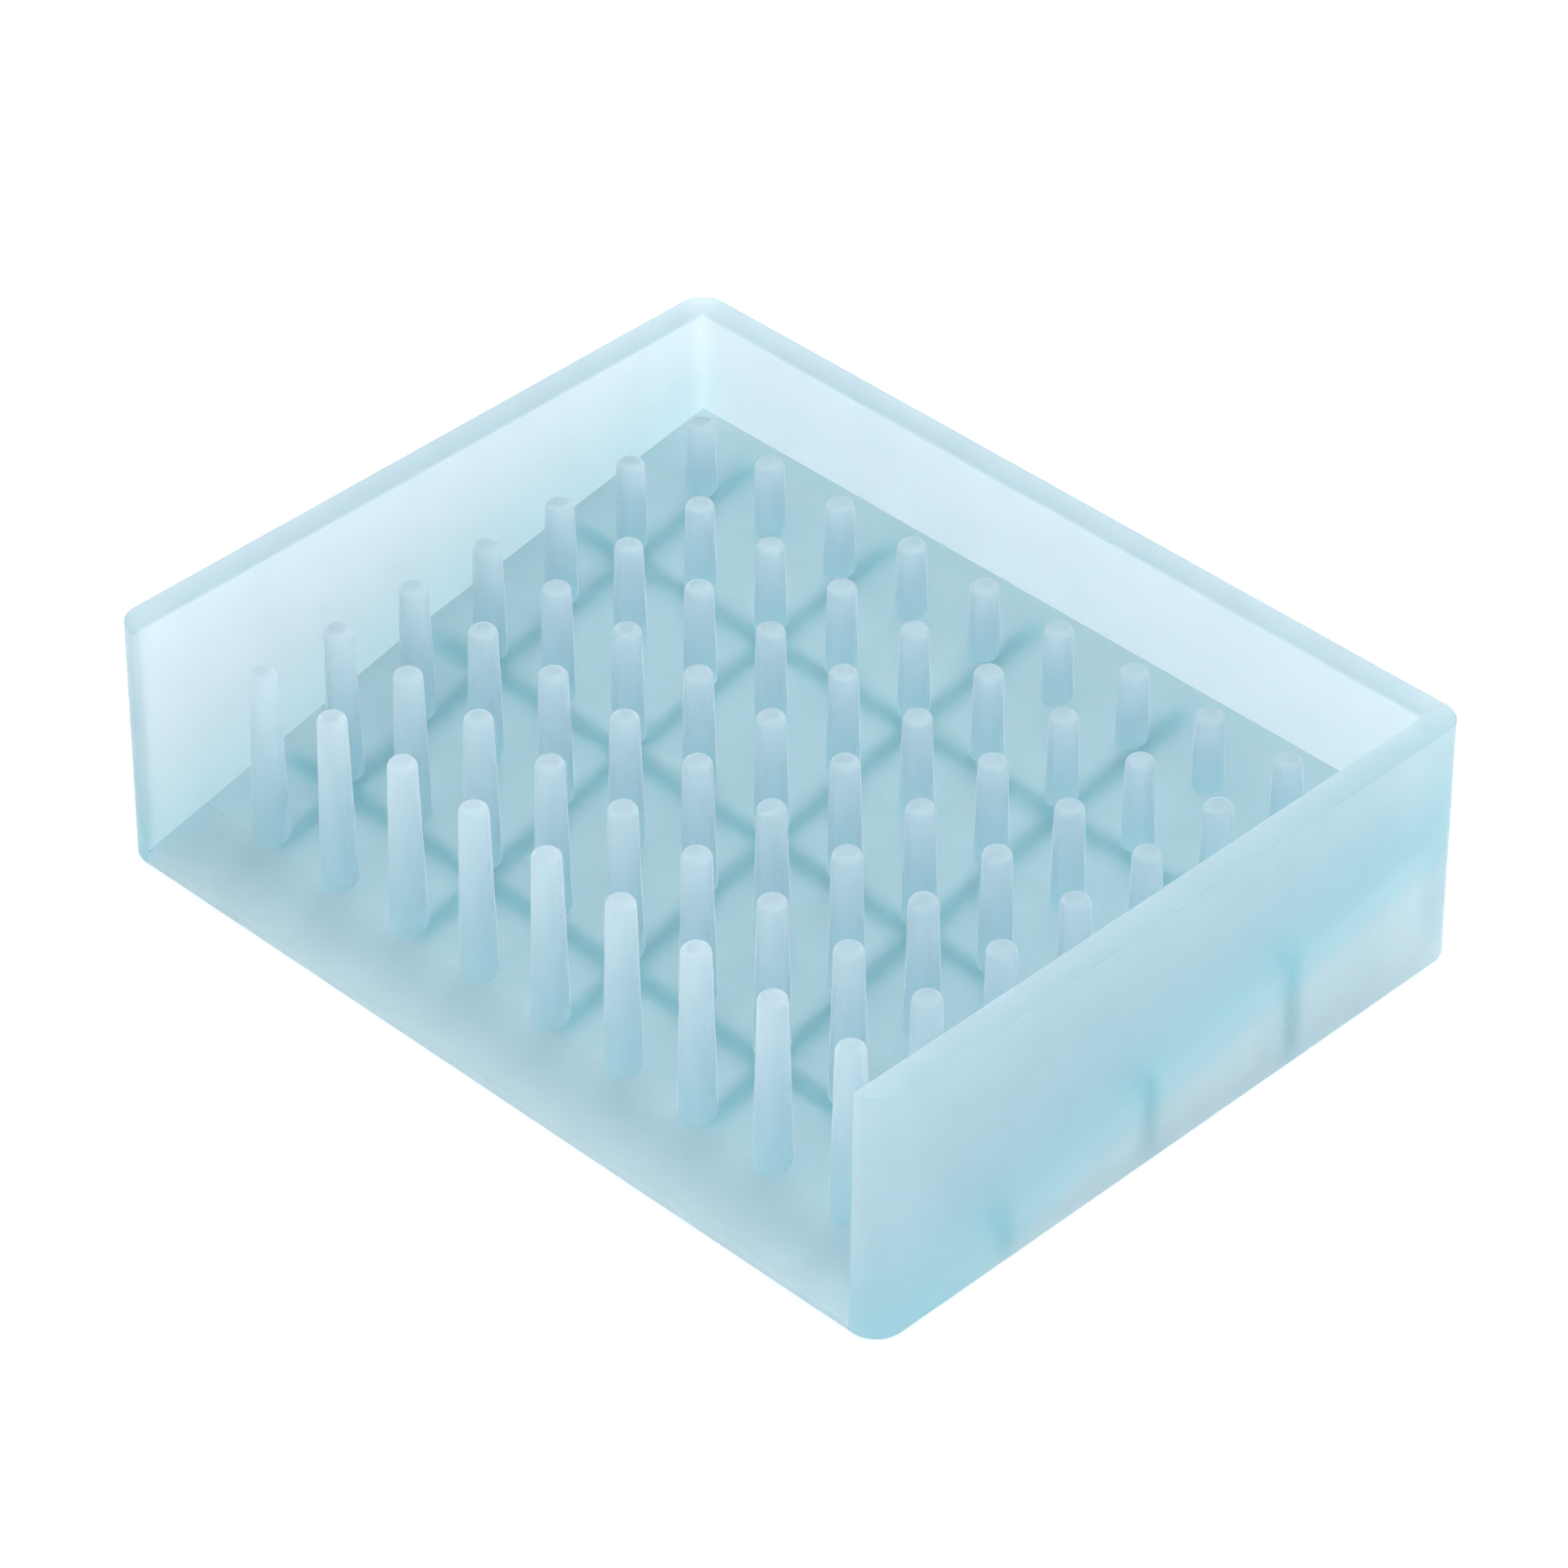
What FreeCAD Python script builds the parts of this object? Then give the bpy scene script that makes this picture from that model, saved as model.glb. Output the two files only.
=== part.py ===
import FreeCAD, Part
import math
import os
from FreeCAD import Vector

# A peg rack for draining test tubes: one soft, frosted moulding.
# X runs along the nine-peg side, -Y is the open pouring edge, +Y the back wall, +Z up.
# The origin is the centre of the footprint, on the bench.  All sizes are in millimetres.
# The moulding is split into its working features: three walls, the sloping floor with its
# pouring lip, the lattice of ribs under the floor, and the rows of pegs on top of it.  They
# stand a hairline apart, so that each one is a solid of its own.

# --- driving dimensions -----------------------------------------------------------------

PITCH = 20.0                 # peg to peg, both ways
COLUMNS = 9                  # pegs along X
ROWS = 7                     # pegs along Y, the first row beside the pouring edge

RIM_WIDTH = 208.0            # outside of the rim, along X
RIM_DEPTH = 162.0            # outside of the rim, along Y
HEIGHT = 57.2                # bench to rim
DRAFT = 0.55                 # the foot stands out from the rim by this much on each side
WALL = 6.8                   # wall thickness at the rim
CORNER_RADIUS = 6.0          # upright outer corners
RIM_FILLET = 0.5             # soft edges of the rim and of the walls' open ends
FOOT_FILLET = 0.8            # soft outer edge at the bench

FLOOR_THICKNESS = 7.0        # measured straight down
FLOOR_HEIGHT_BACK = 33.8     # top of the floor where it meets the back wall
BACK_SLOPE = 0.166           # fall of the floor per millimetre behind the knee
FRONT_SLOPE = 0.232          # fall of the floor per millimetre in front of the knee
KNEE_Y = -12.0               # where the slope changes
KNEE_RADIUS = 300.0          # the soft bend between the two slopes
LIP_FILLET = 2.4             # rounded pouring edge

RIB_THICKNESS = 4.0
RIB_COLUMNS = (0, 2, 4, 6, 8)   # front-to-back ribs run under these columns of pegs
RIB_ROWS = (1, 3, 5)            # crosswise ribs run under these rows of pegs
RIB_END_HEIGHT = 1.0            # a front-to-back rib ends where it is this low

PEG_TIP_HEIGHT = 47.8        # all the tips are level
PEG_TIP_RADIUS = 2.92
PEG_TAPER = 0.024            # growth of the radius per millimetre below the tip
PEG_TIP_FILLET = 1.7
PEG_MIDDLE_Y = -3.5          # middle row of pegs, halfway from the lip to the back wall

JOIN_GAP = 0.02              # hairline that keeps neighbouring features separate solids

# --- derived places ---------------------------------------------------------------------

INNER_X = RIM_WIDTH / 2 - WALL
INNER_Y = RIM_DEPTH / 2 - WALL
KNEE_Z = FLOOR_HEIGHT_BACK - BACK_SLOPE * (INNER_Y - KNEE_Y)
LIP_BACK_Y = KNEE_Y - (KNEE_Z - FLOOR_THICKNESS) / FRONT_SLOPE
RIB_FRONT_Y = LIP_BACK_Y + RIB_END_HEIGHT / FRONT_SLOPE
OUTSIDE = 150.0              # lies beyond every side of the rack


def column_x(column):
    return (column - (COLUMNS - 1) / 2) * PITCH


def row_y(row):
    return PEG_MIDDLE_Y + (row - (ROWS - 1) / 2) * PITCH


def floor_height(y):
    """Top of the floor, before the bend at the knee is softened."""
    slope = BACK_SLOPE if y > KNEE_Y else FRONT_SLOPE
    return KNEE_Z + slope * (y - KNEE_Y)


# --- shared construction ----------------------------------------------------------------


def block(x0, x1, y0, y1, z0=-1.0, z1=HEIGHT + 1.0):
    return Part.makeBox(x1 - x0, y1 - y0, z1 - z0, Vector(x0, y0, z0))


def edges_at_height(shape, z):
    return [e for e in shape.Edges if all(abs(v.Z - z) < 1e-6 for v in e.Vertexes)]


def knee_arc(x, drop):
    """The soft bend of the floor's profile, tangent to both slopes, from front to back."""
    steep = math.atan(FRONT_SLOPE)
    gentle = math.atan(BACK_SLOPE)
    half_turn = (steep - gentle) / 2
    reach = KNEE_RADIUS * math.tan(half_turn)
    sag = KNEE_RADIUS * (1 / math.cos(half_turn) - 1)
    knee = Vector(x, KNEE_Y, KNEE_Z - drop)
    start = knee - Vector(0, math.cos(steep), math.sin(steep)) * reach
    end = knee + Vector(0, math.cos(gentle), math.sin(gentle)) * reach
    middle = knee + Vector(0, math.sin(steep - half_turn), -math.cos(steep - half_turn)) * sag
    return Part.Arc(start, middle, end).toShape()


def under_slope(x0, x1, drop=0.0):
    """Everything from the bench up to the floor's top face lowered by drop."""
    bend = knee_arc(x0, drop)
    toe = Vector(x0, KNEE_Y - (KNEE_Z - drop) / FRONT_SLOPE, 0)
    crest = Vector(x0, OUTSIDE, floor_height(OUTSIDE) - drop)
    heel = Vector(x0, OUTSIDE, 0)
    straights = [
        Part.LineSegment(toe, bend.Vertexes[0].Point).toShape(),
        Part.LineSegment(bend.Vertexes[-1].Point, crest).toShape(),
        Part.LineSegment(crest, heel).toShape(),
        Part.LineSegment(heel, toe).toShape(),
    ]
    outline = Part.Wire([straights[0], bend] + straights[1:])
    return Part.Face(outline).extrude(Vector(x1 - x0, 0, 0))


def rounded_outline(half_x, half_y, radius, z):
    """A closed rectangle with round corners at height z."""
    plate = Part.makeBox(2 * half_x, 2 * half_y, 1, Vector(-half_x, -half_y, z))
    upright = [e for e in plate.Edges if e.BoundBox.ZLength > 0.5]
    rounded = plate.makeFillet(radius, upright)
    bottom = min(rounded.Faces, key=lambda face: face.CenterOfMass.z)
    return bottom.OuterWire


def envelope():
    """The outside of the whole moulding, wider at the bench than at the rim."""
    half_x = RIM_WIDTH / 2
    half_y = RIM_DEPTH / 2
    foot = rounded_outline(half_x + DRAFT, half_y + DRAFT, CORNER_RADIUS + DRAFT, 0)
    rim = rounded_outline(half_x, half_y, CORNER_RADIUS, HEIGHT)
    solid = Part.makeLoft([foot, rim], True, True)
    return solid.makeFillet(FOOT_FILLET, edges_at_height(solid, 0))


# --- walls ------------------------------------------------------------------------------


def open_end_edges(shape):
    """The upright inner edges at the open ends of the two end walls."""
    found = []
    for edge in shape.Edges:
        box = edge.BoundBox
        on_inner_face = abs(abs(box.Center.x) - INNER_X) < 1e-3
        if on_inner_face and box.ZLength > HEIGHT / 2 and box.Center.y < 0:
            found.append(edge)
    return found


def walls():
    """Back wall and both end walls, cut from one U so that the rim runs on unbroken."""
    tray = envelope().cut(block(-INNER_X, INNER_X, -OUTSIDE, INNER_Y))
    soft = edges_at_height(tray, HEIGHT) + open_end_edges(tray)
    tray = tray.makeFillet(RIM_FILLET, soft)
    return {
        "left_end_wall": tray.common(block(-OUTSIDE, -INNER_X, -OUTSIDE, OUTSIDE)),
        "right_end_wall": tray.common(block(INNER_X, OUTSIDE, -OUTSIDE, OUTSIDE)),
        "back_wall": tray.common(block(JOIN_GAP - INNER_X, INNER_X - JOIN_GAP, 0, OUTSIDE)),
    }


# --- floor ------------------------------------------------------------------------------


def drain_floor():
    """The sloping plate that the pegs stand on."""
    half = INNER_X - JOIN_GAP
    plate = under_slope(-half, half).cut(under_slope(-half, half, FLOOR_THICKNESS))
    return plate.common(block(-half, half, LIP_BACK_Y + JOIN_GAP, INNER_Y - JOIN_GAP))


def pouring_lip():
    """The solid front edge of the floor, where the water runs off."""
    half = INNER_X - JOIN_GAP
    lip = under_slope(-half, half).common(envelope())
    lip = lip.common(block(-half, half, -OUTSIDE, LIP_BACK_Y))
    ridge = min((e for e in lip.Edges if e.BoundBox.XLength > half), key=lip_corner_distance)
    return lip.makeFillet(LIP_FILLET, [ridge])


def lip_corner_distance(edge):
    """How far an edge lies from where the floor's top face runs out of the front face."""
    front = -RIM_DEPTH / 2 - DRAFT
    centre = edge.BoundBox.Center
    return abs(centre.y - front) + abs(centre.z - floor_height(front))


def front_back_rib(x):
    """An upright web under one column of pegs, from behind the lip to the back wall."""
    half = RIB_THICKNESS / 2
    web = under_slope(x - half, x + half, FLOOR_THICKNESS + JOIN_GAP)
    return web.common(block(x - half, x + half, RIB_FRONT_Y, INNER_Y - JOIN_GAP))


def crosswise_rib(y):
    """Short webs in line, one in each gap between the front-to-back ribs and end walls."""
    half = RIB_THICKNESS / 2
    faces = [-INNER_X]
    for column in RIB_COLUMNS:
        faces += [column_x(column) - half, column_x(column) + half]
    faces.append(INNER_X)
    webs = []
    for left, right in zip(faces[::2], faces[1::2]):
        x0 = left + JOIN_GAP
        x1 = right - JOIN_GAP
        web = under_slope(x0, x1, FLOOR_THICKNESS + JOIN_GAP)
        webs.append(web.common(block(x0, x1, y - half, y + half)))
    return Part.makeCompound(webs)


# --- pegs -------------------------------------------------------------------------------


def peg_row(y):
    """One row of tapered pegs with level tips, cut to the slope of the floor."""
    foot_radius = PEG_TIP_RADIUS + PEG_TAPER * PEG_TIP_HEIGHT
    peg = Part.makeCone(foot_radius, PEG_TIP_RADIUS, PEG_TIP_HEIGHT)
    peg = peg.makeFillet(PEG_TIP_FILLET, edges_at_height(peg, PEG_TIP_HEIGHT))
    peg.translate(Vector(0, y, 0))
    peg = peg.cut(under_slope(-PITCH / 2, PITCH / 2, -JOIN_GAP))
    pegs = []
    for column in range(COLUMNS):
        copy = peg.copy()
        copy.translate(Vector(column_x(column), 0, 0))
        pegs.append(copy)
    return Part.makeCompound(pegs)


# --- write every sub-part ---------------------------------------------------------------


def all_parts():
    parts = walls()
    parts["drain_floor"] = drain_floor()
    parts["pouring_lip"] = pouring_lip()
    for number, column in enumerate(RIB_COLUMNS, 1):
        parts["front_back_rib_%d" % number] = front_back_rib(column_x(column))
    for number, row in enumerate(RIB_ROWS, 1):
        parts["crosswise_rib_%d" % number] = crosswise_rib(row_y(row))
    for row in range(ROWS):
        parts["peg_row_%d" % (row + 1)] = peg_row(row_y(row))
    return parts


os.makedirs("parts", exist_ok=True)
for name, shape in all_parts().items():
    shape.exportStep("parts/%s.step" % name)
    print(name, len(shape.Solids), "solids", round(shape.Volume), "mm3", shape.isValid())
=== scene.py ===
import math

import bpy
from mathutils import Matrix, Vector


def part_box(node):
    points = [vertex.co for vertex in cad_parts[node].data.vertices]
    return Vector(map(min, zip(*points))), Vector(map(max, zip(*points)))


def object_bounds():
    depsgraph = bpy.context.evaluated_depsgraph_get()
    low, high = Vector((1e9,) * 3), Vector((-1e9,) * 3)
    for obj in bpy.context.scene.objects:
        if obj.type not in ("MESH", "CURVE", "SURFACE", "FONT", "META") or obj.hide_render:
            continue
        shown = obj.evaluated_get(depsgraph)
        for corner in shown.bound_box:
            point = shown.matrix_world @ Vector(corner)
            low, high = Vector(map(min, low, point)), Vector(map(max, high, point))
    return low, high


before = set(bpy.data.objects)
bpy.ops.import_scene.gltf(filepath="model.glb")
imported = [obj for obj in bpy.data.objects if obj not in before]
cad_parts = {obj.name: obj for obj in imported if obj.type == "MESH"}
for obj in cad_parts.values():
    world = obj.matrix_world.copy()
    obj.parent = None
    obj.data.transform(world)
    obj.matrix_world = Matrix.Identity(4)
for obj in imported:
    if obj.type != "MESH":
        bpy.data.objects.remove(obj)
cad_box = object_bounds()

# --- measured view ----------------------------------------------------------------------

AZIMUTH = math.radians(44.715)      # the camera stands over the +X, -Y corner
ELEVATION = math.radians(37.929)
DISTANCE = 1.3329                   # from the middle of the footprint
LIFT = 0.0226                       # the view's centre lies this far above the footprint's middle
SENSOR_WIDTH = 36
LENS = 154.76
FARTHEST = 20


def camera():
    back = Vector((
        math.sin(AZIMUTH) * math.cos(ELEVATION),
        -math.cos(AZIMUTH) * math.cos(ELEVATION),
        math.sin(ELEVATION),
    ))
    right = Vector((math.cos(AZIMUTH), math.sin(AZIMUTH), 0))
    up = back.cross(right)
    data = bpy.data.cameras.new("camera")
    data.sensor_width = SENSOR_WIDTH
    data.lens = LENS
    data.clip_end = FARTHEST
    eye = bpy.data.objects.new("camera", data)
    turn = Matrix((right, up, back)).transposed().to_4x4()
    eye.matrix_world = Matrix.Translation(back * DISTANCE + up * LIFT) @ turn
    bpy.context.scene.collection.objects.link(eye)
    bpy.context.scene.camera = eye


# --- studio -----------------------------------------------------------------------------

BENCH_SIZE = 6.0
BENCH_GAP = 0.0002                  # the bench lies this far below the rack
BENCH_COLOUR = (0.9, 0.9, 0.9, 1)
BENCH_ROUGHNESS = 0.9
BENCH_GLOW = 0.2                    # keeps the rack's shadow out of sight
WHITE = (1, 1, 1, 1)
SKY_STRENGTH = 1.2


def floor_material():
    material = bpy.data.materials.new("studio_floor")
    material.use_nodes = True
    shader = material.node_tree.nodes["Principled BSDF"]
    shader.inputs["Base Color"].default_value = BENCH_COLOUR
    shader.inputs["Roughness"].default_value = BENCH_ROUGHNESS
    shader.inputs["Emission Color"].default_value = WHITE
    shader.inputs["Emission Strength"].default_value = BENCH_GLOW
    return material


def studio_floor():
    mesh = bpy.data.meshes.new("studio_floor")
    half = BENCH_SIZE / 2
    corners = [(-half, -half, 0), (half, -half, 0), (half, half, 0), (-half, half, 0)]
    mesh.from_pydata(corners, [], [(0, 1, 2, 3)])
    floor = bpy.data.objects.new("studio_floor", mesh)
    floor.location.z = cad_box[0][2] - BENCH_GAP
    mesh.materials.append(floor_material())
    bpy.context.scene.collection.objects.link(floor)


def area_light(name, place, size, power):
    data = bpy.data.lights.new(name, "AREA")
    data.shape = "SQUARE"
    data.size = size
    data.energy = power
    lamp = bpy.data.objects.new(name, data)
    lamp.location = place
    lamp.rotation_euler = (-Vector(place)).to_track_quat("-Z", "Y").to_euler()
    bpy.context.scene.collection.objects.link(lamp)


def studio():
    world = bpy.data.worlds.new("studio")
    world.use_nodes = True
    sky = world.node_tree.nodes["Background"]
    sky.inputs["Color"].default_value = WHITE
    sky.inputs["Strength"].default_value = SKY_STRENGTH
    bpy.context.scene.world = world
    area_light("key", place=(-0.5, 0.9, 1.4), size=1.2, power=12)
    area_light("fill", place=(1.6, 0.2, 0.25), size=0.6, power=12)
    bpy.context.scene.view_settings.view_transform = "Standard"
    studio_floor()


# --- where neighbouring features of the one moulding meet -------------------------------
#
# The rack is one moulding, so nothing shows where a peg stands on the floor or a rib meets
# a wall.  On those hidden faces the surface lets light straight through, and only the milky
# body of the silicone, which carries on in the neighbour, acts on it.

MM = 0.001
INNER_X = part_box("right_end_wall")[0].x      # the end walls' inner faces
INNER_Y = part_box("back_wall")[0].y           # the back wall's inner face
LIP_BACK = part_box("pouring_lip")[1].y        # where the lip hands over to the floor
FLOOR_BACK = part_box("drain_floor")[1].z      # top of the floor at the back wall
FLOOR_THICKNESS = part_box("pouring_lip")[1].z
BACK_SLOPE = 0.166
FRONT_SLOPE = 0.232
KNEE_Y = -12 * MM
KNEE_Z = FLOOR_BACK - BACK_SLOPE * (INNER_Y - KNEE_Y)
PITCH = 20 * MM
RIB_PITCH = 2 * PITCH
RIB_HALF = (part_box("front_back_rib_1")[1].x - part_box("front_back_rib_1")[0].x) / 2
RIB_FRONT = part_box("front_back_rib_1")[0].y
CROSS_Y = sum(corner.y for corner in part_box("crosswise_rib_2")) / 2
COLUMNS = 9                                  # pegs along X
ROWS = 7                                     # pegs along Y
PEG_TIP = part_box("peg_row_1")[1].z
PEG_MIDDLE_Y = sum(corner.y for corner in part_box("peg_row_4")) / 2
PEG_TIP_RADIUS = 2.92 * MM
PEG_TAPER = 0.024
TOUCH = 0.025 * MM                           # a face this near its neighbour is hidden
FLUSH = 0.005 * MM                           # a face this near a place above lies in it
BEND = 0.25 * MM                             # the floor's soft knee is off the two slopes by less


class Graph:
    """Short names for building shader nodes."""

    def __init__(self, name):
        self.material = bpy.data.materials.new(name)
        self.material.use_nodes = True
        self.nodes = self.material.node_tree.nodes
        self.links = self.material.node_tree.links
        self.nodes.clear()

    def node(self, kind, **inputs):
        made = self.nodes.new(kind)
        for socket, value in inputs.items():
            self.feed(made.inputs[socket.replace("_", " ")], value)
        return made

    def feed(self, socket, value):
        if isinstance(value, bpy.types.NodeSocket):
            self.links.new(value, socket)
        else:
            socket.default_value = value

    def math(self, operation, *values):
        made = self.nodes.new("ShaderNodeMath")
        made.operation = operation
        for socket, value in zip(made.inputs, values):
            self.feed(socket, value)
        return made.outputs[0]

    def below(self, value, limit):
        return self.math("LESS_THAN", value, limit)

    def above(self, value, limit):
        return self.math("GREATER_THAN", value, limit)

    def all(self, first, *others):
        for other in others:
            first = self.math("MINIMUM", first, other)
        return first

    def any(self, first, *others):
        for other in others:
            first = self.math("MAXIMUM", first, other)
        return first


class Place:
    """The shaded point's place on the rack, as sockets."""

    def __init__(self, graph):
        where = graph.node("ShaderNodeTexCoord").outputs["Object"]
        split = graph.node("ShaderNodeSeparateXYZ", Vector=where)
        self.where = where
        self.x, self.y, self.z = split.outputs
        self.side = graph.math("ABSOLUTE", self.x)
        past_knee = graph.math("SUBTRACT", self.y, KNEE_Y)
        rise = graph.math("MINIMUM", graph.math("MULTIPLY", past_knee, BACK_SLOPE),
                          graph.math("MULTIPLY", past_knee, FRONT_SLOPE))
        over_knee = graph.math("SUBTRACT", self.z, KNEE_Z)
        self.over_floor = graph.math("SUBTRACT", over_knee, rise)   # height over the floor's top
        self.to_rib = graph.math("PINGPONG", self.x, RIB_PITCH / 2)
        from_middle = graph.math("SUBTRACT", self.y, CROSS_Y)
        self.to_cross = graph.math("PINGPONG", from_middle, RIB_PITCH / 2)
        self.underneath = graph.all(          # the faces that close in the cells under the floor
            graph.below(self.over_floor, -FLOOR_THICKNESS / 2),
            graph.below(self.side, INNER_X + TOUCH),
            graph.below(self.y, INNER_Y + TOUCH),
        )


def end_wall_joins(graph, at):
    slab = graph.above(at.over_floor, -FLOOR_THICKNESS)
    cross = graph.below(at.to_cross, RIB_HALF)
    floor = graph.all(graph.below(at.over_floor, 0), graph.any(slab, cross))
    inner_face = graph.below(at.side, INNER_X + FLUSH)
    return graph.all(inner_face, graph.any(floor, graph.above(at.y, INNER_Y)))


def back_wall_joins(graph, at):
    slab = graph.above(at.over_floor, -FLOOR_THICKNESS)
    rib = graph.below(at.to_rib, RIB_HALF)
    floor = graph.all(graph.below(at.over_floor, 0), graph.any(slab, rib))
    inner_face = graph.below(at.y, INNER_Y + FLUSH)
    return graph.any(graph.above(at.side, INNER_X - TOUCH), graph.all(inner_face, floor))


def peg_feet(graph, at):
    """1 on the top face where a peg stands on it."""
    across = graph.math("PINGPONG", at.x, PITCH / 2)
    from_middle = graph.math("SUBTRACT", at.y, PEG_MIDDLE_Y)
    along = graph.math("PINGPONG", from_middle, PITCH / 2)
    squares = graph.math("MULTIPLY_ADD", across, across, graph.math("MULTIPLY", along, along))
    from_peg = graph.math("SQRT", squares)
    below_tip = graph.math("SUBTRACT", PEG_TIP, at.z)
    foot_radius = graph.math("MULTIPLY_ADD", below_tip, PEG_TAPER, PEG_TIP_RADIUS)
    return graph.all(
        graph.above(at.over_floor, -FLOOR_THICKNESS / 2),
        graph.math("LESS_THAN", from_peg, foot_radius),
        graph.below(at.side, COLUMNS / 2 * PITCH),
        graph.below(graph.math("ABSOLUTE", from_middle), ROWS / 2 * PITCH),
    )


def floor_joins(graph, at):
    edges = graph.any(
        graph.above(at.side, INNER_X - TOUCH),
        graph.above(at.y, INNER_Y - TOUCH),
        graph.below(at.y, LIP_BACK + TOUCH),
    )
    rib = graph.all(
        graph.below(at.over_floor, -FLOOR_THICKNESS / 2),
        graph.any(graph.below(at.to_rib, RIB_HALF), graph.below(at.to_cross, RIB_HALF)),
        graph.above(at.y, RIB_FRONT),
    )
    return graph.any(edges, peg_feet(graph, at), rib)


def lip_joins(graph, at):
    ends = graph.any(graph.above(at.side, INNER_X - TOUCH), graph.above(at.y, LIP_BACK - FLUSH))
    return graph.any(ends, peg_feet(graph, at))


def front_back_rib_joins(graph, at):
    top = graph.above(at.over_floor, -FLOOR_THICKNESS - BEND)
    back = graph.above(at.y, INNER_Y - TOUCH)
    flank = graph.all(graph.above(at.to_rib, RIB_HALF - TOUCH), graph.below(at.to_cross, RIB_HALF))
    return graph.any(top, back, flank)


def crosswise_rib_joins(graph, at):
    top = graph.above(at.over_floor, -FLOOR_THICKNESS - BEND)
    rib_end = graph.below(at.to_rib, RIB_HALF + TOUCH)
    wall_end = graph.above(at.side, INNER_X - TOUCH)
    return graph.any(top, rib_end, wall_end)


def peg_joins(graph, at):
    return graph.below(at.over_floor, TOUCH)


# --- silicone ---------------------------------------------------------------------------

SCATTER_BOUNCES = 16
IOR = 1.41
SHEEN = 0.9                     # the matt skin brightens where it turns edge-on
SHEEN_ROUGHNESS = 0.25

MOTTLE_SIZE = 9 * MM            # faint cloudiness of the moulded skin
MOTTLE_DEPTH = 0.04
MOTTLE_RANGE = (0.3, 0.7)       # of the noise, from darkest to palest
GRAIN_SIZE = 0.35 * MM          # fine matt texture that the mould leaves
GRAIN_HEIGHT = 0.012 * MM
GRAIN_STRENGTH = 0.35

CLARITY_UNDERNEATH = 0.15       # the cells under the floor come from a coarse, blasted core
BLASTED_SIZE = 1.3 * MM
BLASTED_RANGE = (0.35, 0.65)
BLASTED_COLOURS = ((0.87, 0.91, 0.92, 1), (0.99, 0.99, 0.99, 1))

FOOT_CLARITY = 0.97             # a peg turns from milky at its tip to clear at its foot, where painted shade turns its colour a darker blue
PAINTED_FOOT_SHADE_COLOUR = (0.72, 0.89, 0.95, 1)
FOOT_SHARE = 0.8                # over this share of its height

TIP_CLARITY = 0.98              # the rounded tips come from a smoother part of the mould
TIP_HEIGHT = 2.2 * MM

WALL_SHADE_COLOUR = (0.66, 0.87, 0.92, 1)     # painted shade on the end walls' outsides, level with the floor
DEEP_RISE = 20 * MM                     # fading to the plain colour this far above it
DEEP_BOTTOM = -0.9 * FLOOR_THICKNESS    # and from here down
DEEP_END = -1.6 * FLOOR_THICKNESS       # to here

DUST_SPACING = 7 * MM
DUST_RADIUS = 0.02              # of the spacing
DUSTY_SHARE = 0.3               # of the cells one spacing wide that hold a grain of dust


class Look:
    """How one feature's silicone looks."""

    def __init__(self, skin, clarity, roughness, body, density, foot=False, shaded_beside_floor=False):
        self.skin = skin            # colour of the matt skin
        self.clarity = clarity      # how much of the light the skin lets in
        self.roughness = roughness
        self.body = body            # colour of the milkiness inside
        self.density = density
        self.foot = foot            # whether it clears towards the floor and gets a painted darker blue shade there
        self.shaded_beside_floor = shaded_beside_floor            # whether its outside gets painted shade beside the floor


WALL = Look((0.875, 0.915, 0.945), 0.95, 0.58, (0.52, 0.735, 0.785, 1), 60, shaded_beside_floor=True)
FLOOR = Look((0.81, 0.91, 0.94), 0.94, 0.74, (0.58, 0.82, 0.865, 1), 45)
# painted shade: the lip is the floor's silicone made greyer and denser, standing in for the shaded
# bench seen through the front
SHADED_LIP = Look((0.80, 0.88, 0.91), 0.93, 0.7, (0.57, 0.77, 0.82, 1), 70)
RIB = Look((0.70, 0.90, 0.94), 1.0, 0.4, (0.66, 0.965, 0.985, 1), 550)
PEG = Look((0.85, 0.93, 0.98), 0.86, 0.5, (0.86, 0.95, 0.98, 1), 110, foot=True)


def noise(graph, at, size, detail):
    made = graph.node("ShaderNodeTexNoise", Vector=at.where, Scale=1 / size, Detail=detail)
    return made.outputs["Fac"]


def ramp(graph, value, low, high, dark, light):
    """Colours from dark to light as value goes from low to high."""
    made = graph.node("ShaderNodeValToRGB", Fac=value)
    made.color_ramp.elements[0].position = low
    made.color_ramp.elements[0].color = dark
    made.color_ramp.elements[1].position = high
    made.color_ramp.elements[1].color = light
    return made.outputs["Color"]


def spread(graph, value, low, high, first, last):
    """A number from first to last as value goes from low to high."""
    made = graph.node("ShaderNodeMapRange", Value=value, From_Min=low, From_Max=high,
                      To_Min=first, To_Max=last)
    return made.outputs[0]


def blend(graph, share, first, second):
    """Colours from first to second as share goes from 0 to 1."""
    made = graph.nodes.new("ShaderNodeMix")
    made.data_type = "RGBA"
    colours = [socket for socket in made.inputs if socket.type == "RGBA"]
    graph.feed(made.inputs[0], share)
    graph.feed(colours[0], first)
    graph.feed(colours[1], second)
    return next(socket for socket in made.outputs if socket.type == "RGBA")


def dust(graph, at):
    """1 on a few scattered grains of dust, 0 elsewhere."""
    cells = graph.node("ShaderNodeTexVoronoi", Vector=at.where, Scale=1 / DUST_SPACING)
    draw = graph.node("ShaderNodeSeparateColor", Color=cells.outputs["Color"]).outputs[0]
    return graph.all(graph.below(cells.outputs["Distance"], DUST_RADIUS),
                     graph.below(draw, DUSTY_SHARE))


def foot_share(graph, at):
    """1 at a peg's foot, 0 from FOOT_SHARE of its height upwards."""
    left = graph.math("SUBTRACT", PEG_TIP, at.z)
    height = graph.math("ADD", at.over_floor, left)
    return spread(graph, graph.math("DIVIDE", at.over_floor, height), 0, FOOT_SHARE, 1, 0)


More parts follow.
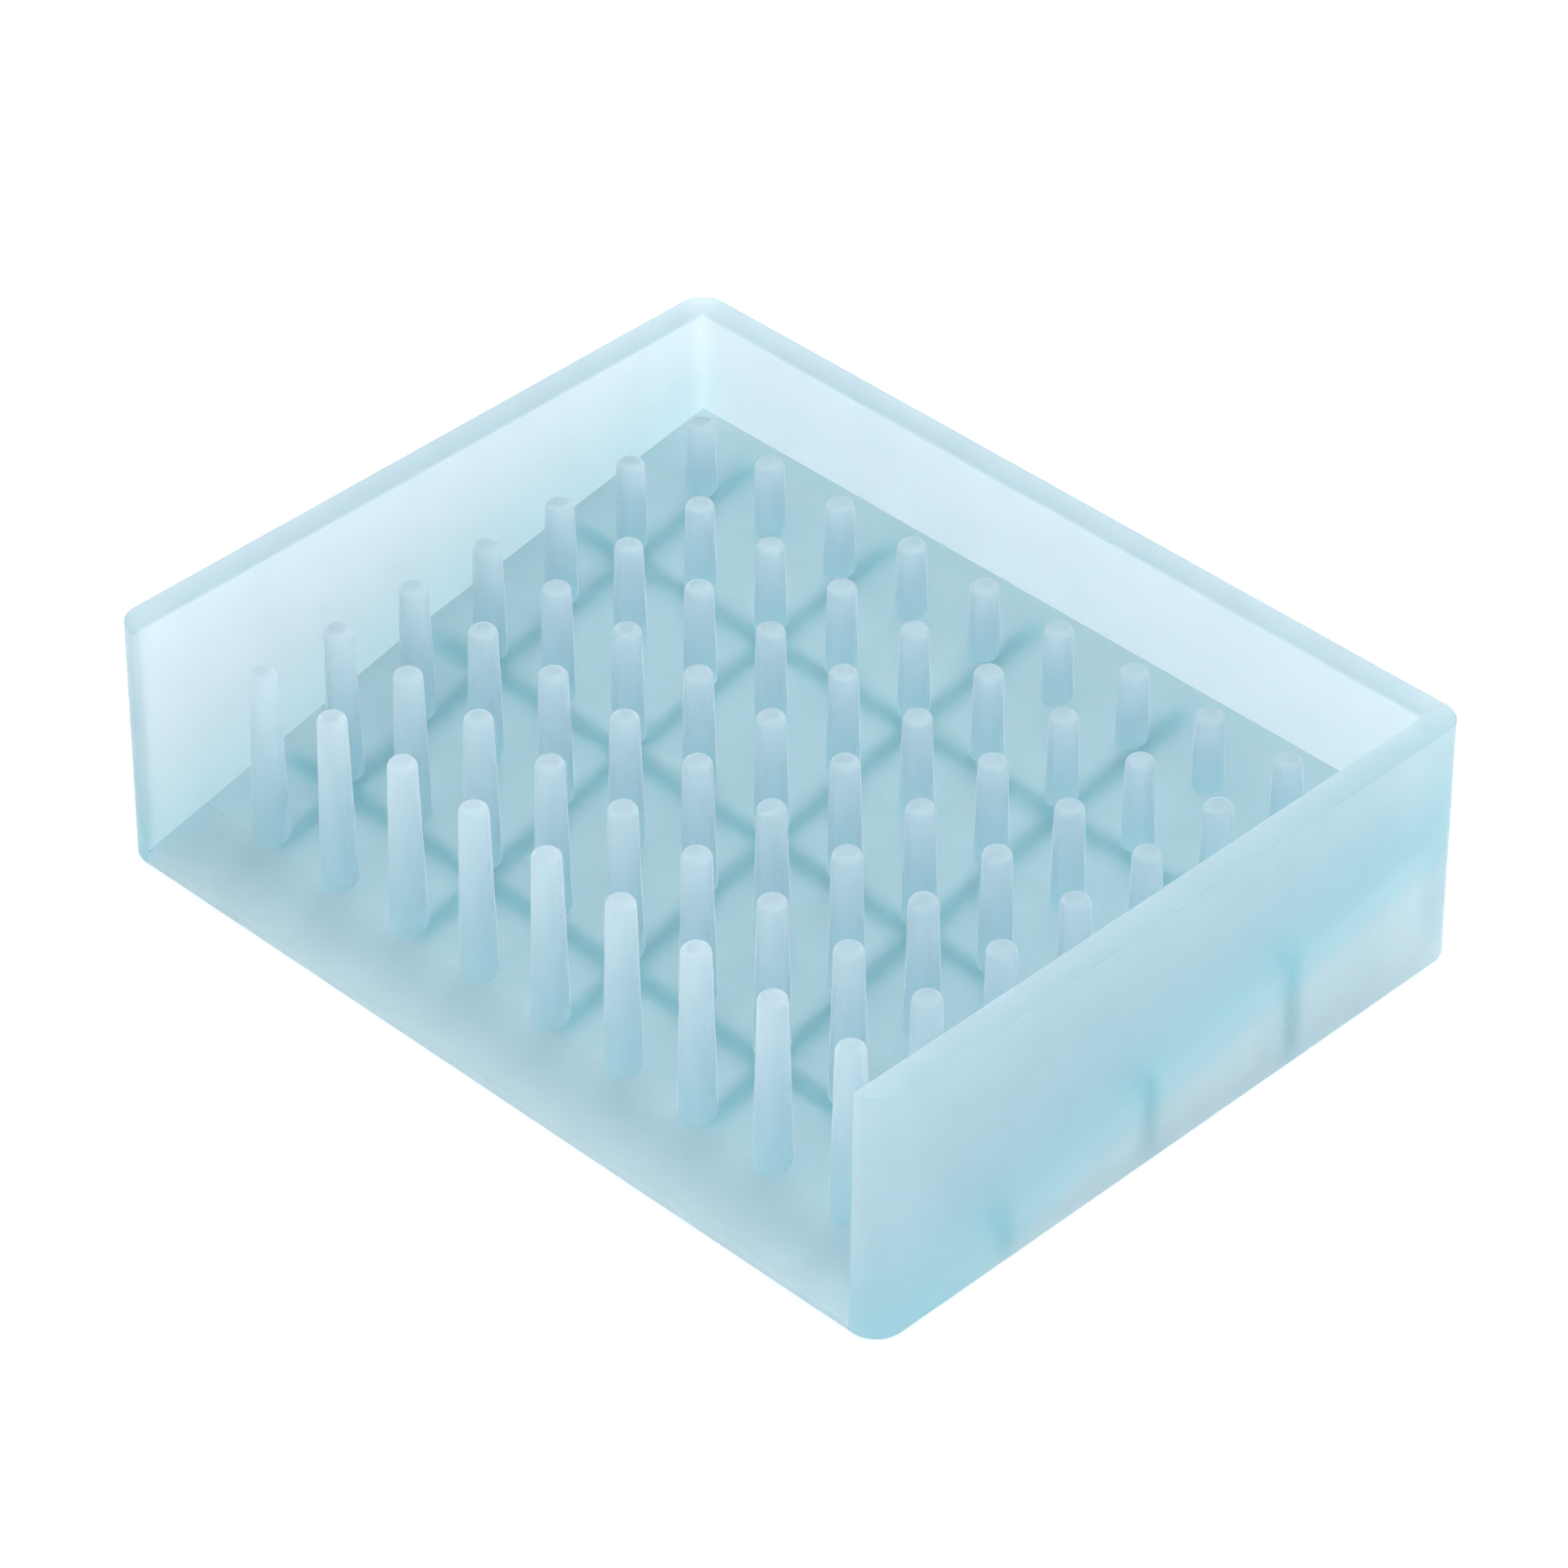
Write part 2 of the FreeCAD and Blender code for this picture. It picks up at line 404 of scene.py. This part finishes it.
def painted_shade_beside_floor(graph, at):
    """1 where painted shade darkens an end wall's outside level with the floor, fading above it
    and ending below it.
    """
    outside = graph.above(at.side, INNER_X + FLUSH)
    fade = spread(graph, at.over_floor, 0, DEEP_RISE, 1, 0)
    end = spread(graph, at.over_floor, DEEP_END, DEEP_BOTTOM, 0, 1)
    return graph.all(outside, fade, end)


def silicone(name, joins, look):
    """Frosted silicone: a matt skin that bends light, over a milky, faintly blue body."""
    graph = Graph(name)
    at = Place(graph)
    mottle = noise(graph, at, MOTTLE_SIZE, detail=4)
    cloudy = [(1 - MOTTLE_DEPTH) * channel for channel in look.skin]
    colour = ramp(graph, mottle, *MOTTLE_RANGE, (*cloudy, 1), (*look.skin, 1))
    roughness = spread(graph, mottle, *MOTTLE_RANGE, look.roughness + MOTTLE_DEPTH,
                       look.roughness - MOTTLE_DEPTH)
    clarity = look.clarity
    if look.shaded_beside_floor:
        # painted shade: the end walls' outsides darken to teal level with the floor
        colour = blend(graph, painted_shade_beside_floor(graph, at), colour, WALL_SHADE_COLOUR)
    if look.foot:
        foot = foot_share(graph, at)
        # painted shade: the colour darkens to blue towards a peg's foot
        colour = blend(graph, foot, colour, PAINTED_FOOT_SHADE_COLOUR)
        clarity = spread(graph, foot, 0, 1, look.clarity, FOOT_CLARITY)
        tip = spread(graph, at.z, PEG_TIP - TIP_HEIGHT, PEG_TIP, 0, 1)
        clarity = graph.math("MAXIMUM", clarity, graph.math("MULTIPLY", tip, TIP_CLARITY))
    coarse = noise(graph, at, BLASTED_SIZE, detail=3)
    blasted = ramp(graph, coarse, *BLASTED_RANGE, *BLASTED_COLOURS)
    colour = blend(graph, at.underneath, colour, blasted)
    clarity = spread(graph, at.underneath, 0, 1, clarity, CLARITY_UNDERNEATH)
    clarity = spread(graph, dust(graph, at), 0, 1, clarity, 0)
    grain = graph.node("ShaderNodeBump", Height=noise(graph, at, GRAIN_SIZE, detail=2),
                       Strength=GRAIN_STRENGTH, Distance=GRAIN_HEIGHT)
    skin = graph.node(
        "ShaderNodeBsdfPrincipled", Base_Color=colour, Roughness=roughness, IOR=IOR,
        Transmission_Weight=clarity, Sheen_Weight=SHEEN, Sheen_Roughness=SHEEN_ROUGHNESS,
        Normal=grain.outputs[0])
    hidden = graph.node("ShaderNodeBsdfTransparent")
    surface = graph.node("ShaderNodeMixShader")
    graph.links.new(joins(graph, at), surface.inputs[0])
    graph.links.new(skin.outputs[0], surface.inputs[1])
    graph.links.new(hidden.outputs[0], surface.inputs[2])
    body = graph.node("ShaderNodeVolumePrincipled", Color=look.body, Density=look.density)
    out = graph.node("ShaderNodeOutputMaterial")
    graph.links.new(surface.outputs[0], out.inputs["Surface"])
    graph.links.new(body.outputs[0], out.inputs["Volume"])
    return graph.material


FEATURES = {
    "end_wall": (end_wall_joins, WALL),
    "back_wall": (back_wall_joins, WALL),
    "drain_floor": (floor_joins, FLOOR),
    "pouring_lip": (lip_joins, SHADED_LIP),
    "front_back_rib": (front_back_rib_joins, RIB),
    "crosswise_rib": (crosswise_rib_joins, RIB),
    "peg_row": (peg_joins, PEG),
}


def dress():
    for feature, (joins, look) in FEATURES.items():
        material = silicone(feature + "_silicone", joins, look)
        for name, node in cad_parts.items():
            if feature in name:
                node.data.materials.clear()
                node.data.materials.append(material)
    light_paths = bpy.context.scene.cycles
    light_paths.volume_bounces = SCATTER_BOUNCES
    light_paths.transmission_bounces = SCATTER_BOUNCES
    light_paths.transparent_max_bounces = 2 * SCATTER_BOUNCES
    light_paths.max_bounces = 2 * SCATTER_BOUNCES


camera()
studio()
dress()
